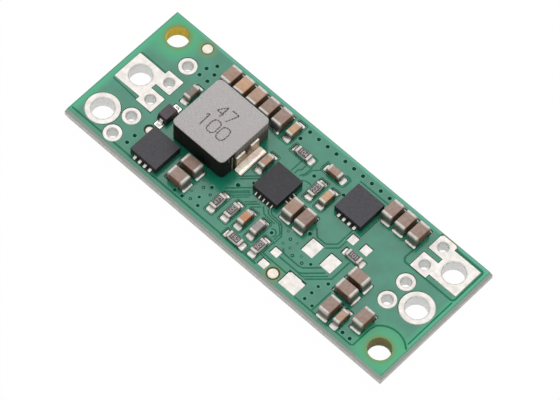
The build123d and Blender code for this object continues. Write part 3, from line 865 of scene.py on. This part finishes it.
# Outer and inner face of a terminal strip from the core's side to its foot, as reach and height, and
# the places across it on either side of its slot. Its edges are eased, and below the slot both
# sides are one.
STRIP_OUTER = [
    (3.10, 1.76), (3.38, 1.76), (3.45, 1.74), (3.50, 1.68), (3.51, 1.60), (3.51, 1.30), (3.51, 0.60),
    (3.51, 0.16), (3.48, 0.06), (3.42, 0.01), (3.30, 0.0), (2.40, 0.0),
]
STRIP_INNER = [
    (3.10, 1.56), (3.22, 1.56), (3.26, 1.55), (3.30, 1.52), (3.31, 1.50), (3.31, 1.30), (3.31, 0.60),
    (3.31, 0.30), (3.30, 0.25), (3.28, 0.21), (3.24, 0.20), (2.40, 0.20),
]
STRIP_SIDES = [(-1, [0.31, 0.36, 1.42, 1.47]), (1, [0.50, 0.55, 1.52, 1.57])]
STRIP_EASE, STRIP_BEND, SLOT_FOOT = 0.03, 1.7, 1.2


def strip(shape, place):
    """One folded terminal strip with its slot, and two thin bars beside it that stand for a painted
    highlight on the core.
    """
    for side, spans in STRIP_SIDES:
        verts, faces = [], []
        for (ox, oz), (ix, iz) in zip(STRIP_OUTER, STRIP_INNER):
            joined = oz < SLOT_FOOT
            reach = [0.0] + spans[1:] if joined else spans
            for k, y in enumerate(reach):
                ease = STRIP_EASE if k == 3 or (k == 0 and not joined) else 0.0
                x, z = (ox - ease, oz) if oz < STRIP_BEND else (ox, oz - ease)
                verts.append((x, side * y, z))
            verts += [(ix, side * y, iz) for y in reach]
        stride = 2 * len(spans)
        for i in range(len(STRIP_OUTER) - 1):
            a, b = i * stride, (i + 1) * stride
            for j in range(len(spans) - 1):
                faces.append([a + j, b + j, b + j + 1, a + j + 1])
                faces.append([a + 4 + j, a + 5 + j, b + 5 + j, b + 4 + j])
            faces.append([a + 3, b + 3, b + 7, a + 7])
            faces.append([a, a + 4, b + 4, b])
        shape.add(verts, faces, place=place, soft=False)
    long_highlight_bar = block(0.09, 0.13, 2.30, 0.03, base=0.10)
    shape.add(*long_highlight_bar, place=moved(place, 3.335, -1.96), mark=1, soft=False)
    short_highlight_bar = block(0.06, 0.07, 0.62, 0.02, base=2.05)
    shape.add(*short_highlight_bar, place=moved(place, 3.320, -2.38), mark=1, soft=False)


strips = Shape()
for end in (0, 180):
    out = at(*INDUCTOR, turn=end)
    strip(strips, out)
    joint = fillet(0.80, 3.54, 0.36, rows=10, columns=24, side_rise=0.6, taper=0.015)
    power_solder.add(*joint, place=moved(out, 3.50), mark=1)
    lands.append(turned_rect(out, INDUCTOR_LAND, 1.03 + GAP, 1.75 + GAP, 0.10, 3))
strips.build("inductor_terminal_strips", [strip_metal, strip_edge_highlight], "inductor_terminals")
power_solder.build("power_solder", [solder, broad_solder], "power_solder_joints")

# Plain digits marked on the inductor, in strokes that the rough face breaks up.
strokes = written("47", -8.80, 0.68, 1.34, 1.12, 0.064, broken=0.30)
strokes += written("100", -9.46, -1.14, 1.46, 1.20, 0.064, broken=0.30)
marks = plate(strokes, [], INDUCTOR_TOP - 0.0005, INDUCTOR_TOP - 0.02)
marks.build("inductor_digits", [mark_ink], "inductor_core", replaces=False)


def lip(radius):
    """Rounded lip of a plated hole, as radii and depths below the face."""
    reach, depth = (0.28, 0.12) if radius > 1 else (0.13, 0.16)
    steps = [math.radians(90 * k / 8) for k in range(9)]
    return [(radius + reach * (1 - math.sin(t)), depth * (1 - math.cos(t))) for t in steps]


def through(half, sides):
    """A wall through the board, the same at both faces, from its radii and depths at one."""
    return revolved([(r, SURFACE - z) for r, z in half] + half[::-1], sides)


def ring(radius, hole, sides):
    """A tinned ring on both faces, with its barrel."""
    rim = [(radius, LAYER), (radius, 0.02), (radius - 0.02, 0.004), (radius - 0.07, 0.0)]
    return through(rim + lip(hole), sides)


eyelets = Shape()
for x, y in EYELETS:
    eyelets.add(*ring(EYELET_RING, HEADER_HOLE, HEADER_SIDES), place=at(x, y, 0))
eyelets.build("header_eyelets_tinned", [tin], "header_eyelets")
for (x, y), node in zip(GROUNDS, ("input_ground_terminal", "output_ground_terminal")):
    shape = Shape()
    shape.add(*ring(GROUND_RING, TERMINAL_HOLE, TERMINAL_SIDES), place=at(x, y, 0))
    shape.build(f"{node}_tinned", [tin], node)
for node, (centre, fingers) in BLOCKS.items():
    solid = [rounded_rect(BLOCK_HALF, BLOCK_HALF, BLOCK_CORNER, 4, *centre)]
    solid += [rounded_rect(FINGER_HALF, FINGER_HALF, BLOCK_CORNER, 4, *f) for f in fingers]
    barrels = [(*centre, TERMINAL_HOLE, TERMINAL_SIDES)]
    barrels += [(*f, HEADER_HOLE, HEADER_SIDES) for f in fingers]
    holes = [disc(x, y, lip(radius)[0][0], sides) for x, y, radius, sides in barrels]
    upper = plate(solid, holes + NOTCHES, SURFACE, CORE_TOP)
    under = plate(solid, holes, LAYER, 0.0, floor_faces=True)
    shape = Shape()
    for pad in (upper, under):
        shape.add(pad.verts, pad.faces, soft=False)
    for x, y, radius, sides in barrels:
        shape.add(*through(lip(radius), sides), place=at(x, y, 0))
    shape.build(f"{node}_tinned", [tin], node)

dots = Shape()
flat_dot = [(0.53, CORE_TOP), (0.53, 1.585), (0.50, 1.60), (0.30, 1.603), (0.001, 1.604)]
for x, y in FIDUCIALS:
    dots.add(*revolved(flat_dot, 40), place=at(x, y, 0))
domed_dot = [(0.40, CORE_TOP), (0.40, 1.58), (0.37, 1.60), (0.25, 1.615), (0.001, 1.62)]
dots.add(*revolved(domed_dot, 32), place=at(TEST_DOT[0] + 0.05, TEST_DOT[1] - 0.02, 0))
dots.build("round_marks_tinned", [dot_metal], "round_marks")

# Bare pads. The longest has two notches in its far edge.
bare = Shape()
longest = max(size_x for _, _, size_x, _ in UNFITTED)
for x, y, size_x, size_y in UNFITTED:
    far, cuts = y + size_y / 2, []
    if size_x == longest:
        cuts.append(rounded_rect(0.13, 0.14, 0.02, 1, x - size_x / 2, far))
        cuts.append(rounded_rect(0.27, 0.09, 0.02, 1, x + 0.75, far))
    pad = plate([rounded_rect(size_x / 2, size_y / 2, 0.05, 3, x, y)], cuts, PAD_TOP, CORE_TOP)
    bare.add(pad.verts, pad.faces, soft=False)
bare.build("unfitted_pads_tinned", [tin], "unfitted_pads")

# Both masks are open over what is plated through. The top one is also open over lands and marks.
plated = [disc(x, y, MOUNT_RADIUS + 0.03, MOUNT_SIDES) for x, y in MOUNTS]
plated += [disc(x, y, GROUND_RING + GAP, TERMINAL_SIDES) for x, y in GROUNDS]
plated += [disc(x - 0.02, y + 0.02, EYELET_RING + 0.04, HEADER_SIDES) for x, y in EYELETS]
for centre, fingers in BLOCKS.values():
    plated.append(rounded_rect(BLOCK_HALF + GAP, BLOCK_HALF + GAP, 0.12, 4, *centre))
    plated += [rounded_rect(FINGER_HALF + GAP, FINGER_HALF + GAP, 0.12, 4, *f) for f in fingers]
openings = lands + plated
openings += [disc(*FIDUCIALS[0], 0.62, 40), disc(*FIDUCIALS[1], 0.68, 40)]
openings.append(disc(TEST_DOT[0] - 0.04, TEST_DOT[1] + 0.03, 0.54, 32))
for x, y, size_x, size_y in UNFITTED:
    openings.append(rounded_rect(size_x / 2 + GAP, size_y / 2 + GAP, 0.08, 3, x - 0.04, y + 0.04))
sheet = [rounded_rect(20.16, 7.46, 0.05, 2)]
top_mask = plate(sheet, openings, SURFACE, CORE_TOP, height=mask_height, kinds=grooves())
top_mask.build("top_mask_relief", [mask, mask_ring, mask_gap_painted_shade, mask_via, mask], "top_solder_mask")

# The underside shows the same open vias.
via_spots = []
for x, y, radius in VIAS:
    via_spots += [(disc(x, y, radius + VIA_RING, 16), 1), (disc(x, y, radius, 14), 2)]
under_mask = plate(sheet, plated, LAYER, 0.0, kinds=via_spots, floor_faces=True)
under_mask.build("bottom_mask_sheet", [mask_below, mask_ring, mask_via], "bottom_solder_mask")
dress("circuit_board", laminate)


def backdrop_rays(tree):
    """1 for rays from the camera, off shiny surfaces and through clear ones."""
    path = tree.nodes.new("ShaderNodeLightPath")
    value = path.outputs["Is Camera Ray"]
    for kind in ("Is Glossy Ray", "Is Transmission Ray"):
        larger = tree.nodes.new("ShaderNodeMath")
        larger.operation = "MAXIMUM"
        tree.links.new(value, larger.inputs[0])
        tree.links.new(path.outputs[kind], larger.inputs[1])
        value = larger.outputs[0]
    return value


def paper(name, colour, white_share):
    """A plain floor that those rays see as nearly pure white."""
    m = bpy.data.materials.new(name)
    m.use_nodes = True
    tree = m.node_tree
    shader = tree.nodes["Principled BSDF"]
    shader.inputs["Base Color"].default_value = colour
    shader.inputs["Roughness"].default_value = 0.9
    glow = tree.nodes.new("ShaderNodeEmission")
    glow.inputs["Strength"].default_value = 1.0
    share = tree.nodes.new("ShaderNodeMath")
    share.operation = "MULTIPLY"
    share.inputs[1].default_value = white_share
    tree.links.new(backdrop_rays(tree), share.inputs[0])
    mix = tree.nodes.new("ShaderNodeMixShader")
    tree.links.new(share.outputs[0], mix.inputs[0])
    tree.links.new(shader.outputs[0], mix.inputs[1])
    tree.links.new(glow.outputs[0], mix.inputs[2])
    tree.links.new(mix.outputs[0], tree.nodes["Material Output"].inputs["Surface"])
    return m


FLOOR_HALF, FLOOR_Z = 3, -2e-5
floor_mesh = bpy.data.meshes.new("floor")
floor_corners = [(FLOOR_HALF * x, FLOOR_HALF * y, FLOOR_Z) for x, y in ((-1, -1), (1, -1), (1, 1), (-1, 1))]
floor_mesh.from_pydata(floor_corners, [], [[0, 1, 2, 3]])
floor_mesh.materials.append(paper("floor_paper", (0.98, 0.98, 0.98, 1), 0.985))
floor = bpy.data.objects.new("floor", floor_mesh)
bpy.context.collection.objects.link(floor)

# The surroundings light the part with less than the white that the camera sees.
world = bpy.data.worlds.new("studio")
bpy.context.scene.world = world
world.use_nodes = True
sky = world.node_tree
level = sky.nodes.new("ShaderNodeMapRange")
level.inputs["To Min"].default_value = 0.60
level.inputs["To Max"].default_value = 1.0
sky.links.new(backdrop_rays(sky), level.inputs["Value"])
sky.nodes["Background"].inputs["Color"].default_value = (1, 1, 1, 1)
sky.links.new(level.outputs["Result"], sky.nodes["Background"].inputs["Strength"])


def lamp(name, direction, distance, size, power):
    """A square light that faces the part."""
    data = bpy.data.lights.new(name, "AREA")
    data.shape = "SQUARE"
    data.size = size
    data.energy = power
    obj = bpy.data.objects.new(name, data)
    bpy.context.collection.objects.link(obj)
    toward = Vector(direction).normalized()
    obj.location = toward * distance
    obj.rotation_euler = toward.to_track_quat("Z", "Y").to_euler()


lamp("key", (-0.33, 0.40, 0.86), 0.80, 0.85, 3.0)

# The camera that matches the photograph.
eye = bpy.data.cameras.new("camera")
eye.sensor_width = 36.0
eye.lens = 261.56
eye.clip_start, eye.clip_end = 0.01, 10
camera = bpy.data.objects.new("camera", eye)
bpy.context.collection.objects.link(camera)
right = Vector((0.724814, 0.688491, 0.024991))
up = -Vector((0.611521, -0.626229, -0.483611))
back = -Vector((-0.317311, 0.36581, -0.874926))
view = Matrix((right, up, back)).transposed().to_4x4()
camera.matrix_world = Matrix.Translation((0.121146, -0.139123, 0.332949)) @ view
bpy.context.scene.camera = camera
bpy.context.scene.view_settings.view_transform = "Standard"
